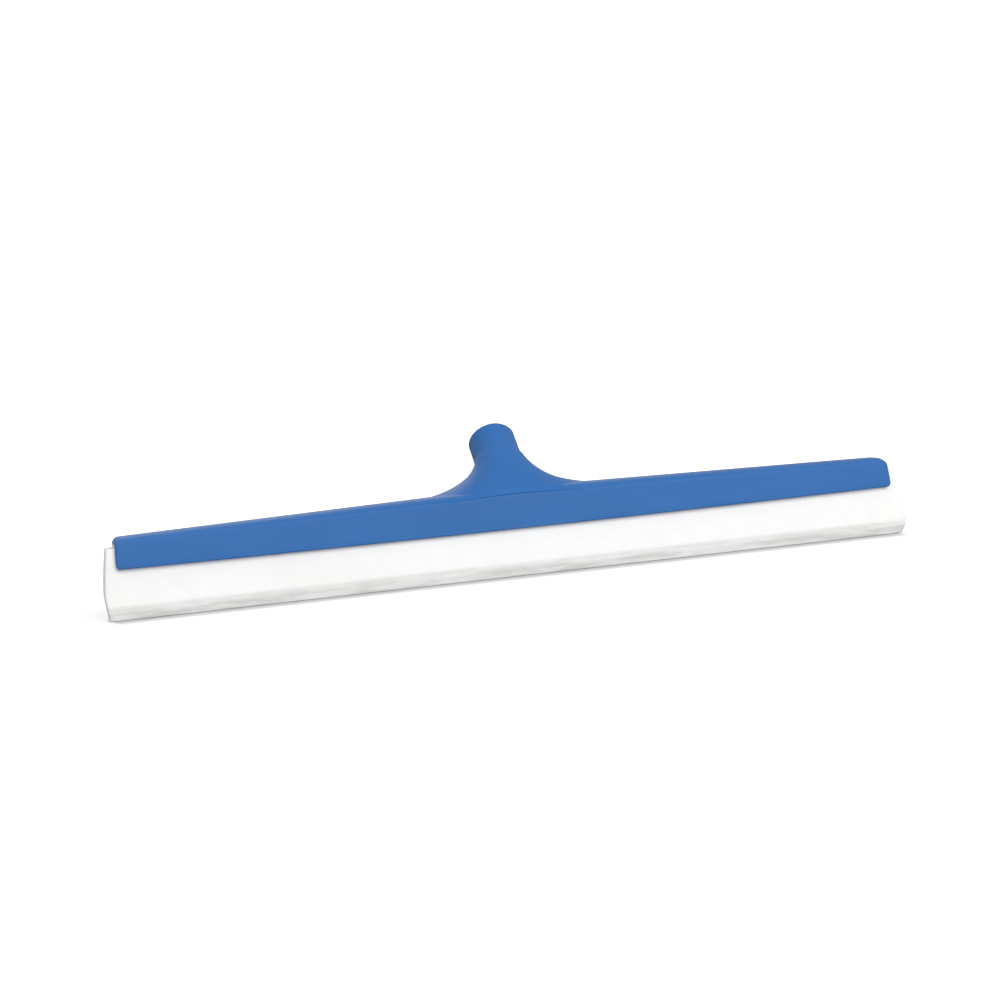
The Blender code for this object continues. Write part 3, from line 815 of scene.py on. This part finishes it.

# %% [markdown]
# Cellular rubber is a foam of tiny closed cells. Its cut faces show them as fine pits, so the bump comes from a
# Voronoi texture, whose distance falls to nothing at the middle of each cell. The rubber has hardly any gloss. Near
# the lip its colour turns grey in long smudges that follow the band of height: partly grime from the floor, and
# partly painted shade where the bevel turns down to the floor.

# %% White cellular rubber
rubber, tree, shader, position = start_material("cellular_rubber")
cloudy = use(tree, patches, (-900, 500), position, size=0.025, stretch=2.0, contrast=0.25)
clean_unshaded = mix_colours(tree, (-300, 450), cloudy, (0.920, 0.917, 0.905), (0.955, 0.952, 0.944))
# The grey towards the lip is partly floor grime and partly painted shade on the downturned bevel.
lip = use(tree, band, (-900, 250), position, full_below=0.002, none_above=0.013)
smudge_and_shade_patches = use(tree, patches, (-900, 60), position, size=0.007, stretch=7.0, contrast=0.10)
smudge_and_shade = scale_share(tree, (-600, 150), smudge_and_shade_patches, 0.50, lip)
smudged_and_shaded = mix_colours(tree, (0, 350), smudge_and_shade, clean_unshaded, (0.56, 0.555, 0.53))
tree.links.new(smudged_and_shaded, shader.inputs["Base Color"])
shader.inputs["Roughness"].default_value = 0.92
shader.inputs["Specular IOR Level"].default_value = 0.2
cells = put(tree, "ShaderNodeTexVoronoi", (-600, -250), feature="SMOOTH_F1", scale=900.0)
tree.links.new(position, cells.inputs["Vector"])
skin_waves = use(tree, grain, (-600, -500), position, coarse_size=0.008, fine_size=0.0015, fine_share=0.35)
pits = put(tree, "ShaderNodeMath", (-200, -350), operation="MULTIPLY_ADD")
pits.inputs[1].default_value = 0.35
tree.links.new(cells.outputs["Distance"], pits.inputs[0])
tree.links.new(skin_waves, pits.inputs[2])
bumpy(tree, (250, -350), pits.outputs[0], 0.00035, 0.5, shader)
for obj in strips:
    obj.data.materials.append(rubber)
print("strips:", rubber.name)

# %% [markdown]
# ## The studio
#
# The head stands on a plain white sheet, as in a catalogue. If the whole surround were as white as it looks, every
# edge would mirror it and turn pale, so the surround is two things at once: white where the camera sees it, and a
# dim grey where the object is lit or mirrored by it. Light Path tells the two apart.

# %% Make the surround
WHITE_WALL, GREY_WALL = 1.05, 0.50


def by_light_path(tree, seen, other, result, place):
    """Use one shader for what the camera sees directly, and another for light that meets the object first."""
    path = put(tree, "ShaderNodeLightPath", (place[0] - 200, place[1] + 200))
    choose = put(tree, "ShaderNodeMixShader", place)
    tree.links.new(path.outputs["Is Camera Ray"], choose.inputs[0])
    tree.links.new(other, choose.inputs[1])
    tree.links.new(seen, choose.inputs[2])
    tree.links.new(choose.outputs[0], result)


surround = bpy.data.worlds.new("white_surround")
surround.use_nodes = True
tree = surround.node_tree
white_wall = tree.nodes["Background"]
white_wall.inputs["Color"].default_value = (1.0, 1.0, 1.0, 1.0)
white_wall.inputs["Strength"].default_value = WHITE_WALL
grey_wall = put(tree, "ShaderNodeBackground", (0, -200), color=(1.0, 1.0, 1.0, 1.0), strength=GREY_WALL)
seen_world = tree.nodes["World Output"].inputs["Surface"]
by_light_path(tree, white_wall.outputs[0], grey_wall.outputs[0], seen_world, (300, 100))
bpy.context.scene.world = surround
bpy.context.scene.view_settings.view_transform = "Standard"
print("the surround is", WHITE_WALL, "to the camera and", GREY_WALL, "to the object")

# %% [markdown]
# The floor is a light table in the same way. It glows for the camera, but the glow is left out right under the lips,
# which paints a narrow shadow there to show that the head stands on it. So the glow follows the distance from the
# strips' middle line, and past their ends that distance grows faster, so that the painted shadow doesn't stick out
# there. A second, wider glow makes up for the light that falls off far from the head.

# %% Make the floor
FLOOR_HALF, FLOOR_DROP, FLOOR_WHITE, FLOOR_GREY = 4.0, 0.0002, 0.62, 0.42
LINE_INSET, PAST_END_GAIN = 0.012, 4.0
# The near glow is left out within 16 mm of the strips' middle line and fades in by 46 mm: a painted shadow under the
# lips.
NEAR_GLOW_WITH_PAINTED_SHADOW = {"from_min": 0.016, "from_max": 0.046, "to_min": 0.0, "to_max": 0.55}
FAR_GLOW = {"from_min": 0.2, "from_max": 0.9, "to_min": 0.0, "to_max": 0.5}


def of_one(tree, operation, place, source, number=None, **values):
    """A Math node on one socket, and on a number if one is given."""
    made = put(tree, "ShaderNodeMath", place, operation=operation, **values)
    tree.links.new(source, made.inputs[0])
    if number is not None:
        made.inputs[1].default_value = number
    return made.outputs[0]


corners = [(x * FLOOR_HALF, y * FLOOR_HALF, -FLOOR_DROP) for x, y in ((-1, -1), (1, -1), (1, 1), (-1, 1))]
sheet = bpy.data.meshes.new("studio_floor")
sheet.from_pydata(corners, [], [(0, 1, 2, 3)])
floor = link("studio_floor", sheet)
table, tree, glowing, position = start_material("light_table")
for label, value in (("Base Color", (FLOOR_WHITE, FLOOR_WHITE, FLOOR_WHITE, 1.0)), ("Roughness", 1.0),
                     ("Specular IOR Level", 0.0), ("Emission Color", (1.0, 1.0, 1.0, 1.0))):
    glowing.inputs[label].default_value = value

split = put(tree, "ShaderNodeSeparateXYZ", (-700, 0))
tree.links.new(position, split.inputs[0])
beside = of_one(tree, "ABSOLUTE", (-550, 100), split.outputs["X"])
past_end = of_one(tree, "SUBTRACT", (-400, 100), beside, blade_high[0] * MM - LINE_INSET, use_clamp=True)
offset = put(tree, "ShaderNodeCombineXYZ", (-100, 0))
tree.links.new(of_one(tree, "MULTIPLY", (-250, 100), past_end, PAST_END_GAIN), offset.inputs["X"])
tree.links.new(of_one(tree, "SUBTRACT", (-400, -100), split.outputs["Y"], middle_y * MM), offset.inputs["Y"])
away = put(tree, "ShaderNodeVectorMath", (50, 0), operation="LENGTH")
tree.links.new(offset.outputs[0], away.inputs[0])
glow = put(tree, "ShaderNodeMath", (400, 0), operation="ADD")
for height, reach_of_glow, socket in ((100, NEAR_GLOW_WITH_PAINTED_SHADOW, glow.inputs[0]), (-150, FAR_GLOW, glow.inputs[1])):
    ramp = put(tree, "ShaderNodeMapRange", (200, height), interpolation_type="SMOOTHSTEP", **reach_of_glow)
    tree.links.new(away.outputs["Value"], ramp.inputs["Value"])
    tree.links.new(ramp.outputs[0], socket)
tree.links.new(glow.outputs[0], glowing.inputs["Emission Strength"])
plain = put(tree, "ShaderNodeBsdfDiffuse", (700, -400), color=(FLOOR_GREY, FLOOR_GREY, FLOOR_GREY, 1.0))
by_light_path(tree, glowing.outputs[0], plain.outputs[0], tree.nodes["Material Output"].inputs["Surface"], (1000, -200))
tree.nodes["Material Output"].location = (1200, 0)
floor.data.materials.append(table)
print("the floor's shadow ends", NEAR_GLOW_WITH_PAINTED_SHADOW["from_max"] / MM, "mm from the middle line")

# %% [markdown]
# A lamp and the camera are both placed by two angles seen from the head. Azimuth 0 is the front and 90 the right.
# The direction out to those angles is the object's own back axis, and right and up follow as cross products.

# %% Place things by angles
def axes(azimuth, elevation):
    """The right, up and back axes of something that looks at the head from these angles in radians."""
    level = math.cos(elevation)
    back = np.array([math.sin(azimuth) * level, -math.cos(azimuth) * level, math.sin(elevation)])
    right = np.cross([0.0, 0.0, 1.0], back)
    right /= np.linalg.norm(right)
    return right, np.cross(back, right), back


def place_object(name, data, right, up, back, where):
    """An object with these axes at a point in metres, in the scene."""
    obj = bpy.data.objects.new(name, data)
    columns = np.column_stack([right, up, back, where])
    obj.matrix_world = Matrix(np.vstack([columns, [0, 0, 0, 1]]).tolist())
    bpy.context.scene.collection.objects.link(obj)
    return obj


print("the front's back axis is", np.round(axes(0.0, 0.0)[2], 3))

# %% [markdown]
# The light comes from one very large softbox in front, to the right and somewhat above, which leaves the left side
# of the round socket a little darker. Two weak ones, at the left and behind, keep those sides from falling into the
# dark. A softbox is an area lamp. Light = 1 is what makes a white sheet show as 1, and a lamp's power follows from
# it: power = light x pi squared x distance squared.

# %% Softboxes
LAMP_DISTANCE, LAMP_SIZE = 4.5, 3.0


def softbox(name, azimuth, elevation, light):
    """A square lamp at these angles in degrees, with this light."""
    lamp = bpy.data.lights.new(name, "AREA")
    lamp.shape, lamp.size, lamp.energy = "SQUARE", LAMP_SIZE, light * math.pi**2 * LAMP_DISTANCE**2
    right, up, back = axes(math.radians(azimuth), math.radians(elevation))
    return place_object(name, lamp, right, up, back, back * LAMP_DISTANCE)


lamps = [softbox("front_softbox", 14.0, 27.0, 0.74)]
lamps.append(softbox("left_softbox", -80.0, 25.0, 0.12))
lamps.append(softbox("rear_softbox", 180.0, 30.0, 0.12))
print("lamps:", [lamp.name for lamp in lamps])

# %% [markdown]
# ## The camera
#
# The camera looks along the bar's front from a little to the left and barely above it, with a long lens, and it
# is turned about its own axis, so that the bar climbs to the right. The roll mixes the right and the up axis.

# %% Place the camera
AZIMUTH, ELEVATION, ROLL = np.radians([-12.56, 3.5, 5.25])
DISTANCE, LENS, AIM_X, AIM_Z = 1640.0, 80.93, -8.35, 55.8

lens = bpy.data.cameras.new("camera")
lens.lens, lens.sensor_width = LENS, 36.0
lens.clip_start, lens.clip_end = 0.05, 40.0
right, up, back = axes(AZIMUTH, ELEVATION)
rolled_right = math.cos(ROLL) * right - math.sin(ROLL) * up
rolled_up = math.sin(ROLL) * right + math.cos(ROLL) * up
aim = np.array([AIM_X, middle_y, AIM_Z])
camera = place_object("camera", lens, rolled_right, rolled_up, back, (aim + DISTANCE * back) * MM)
bpy.context.scene.camera = camera
print("camera at", np.round(camera.matrix_world.translation, 3), "m")
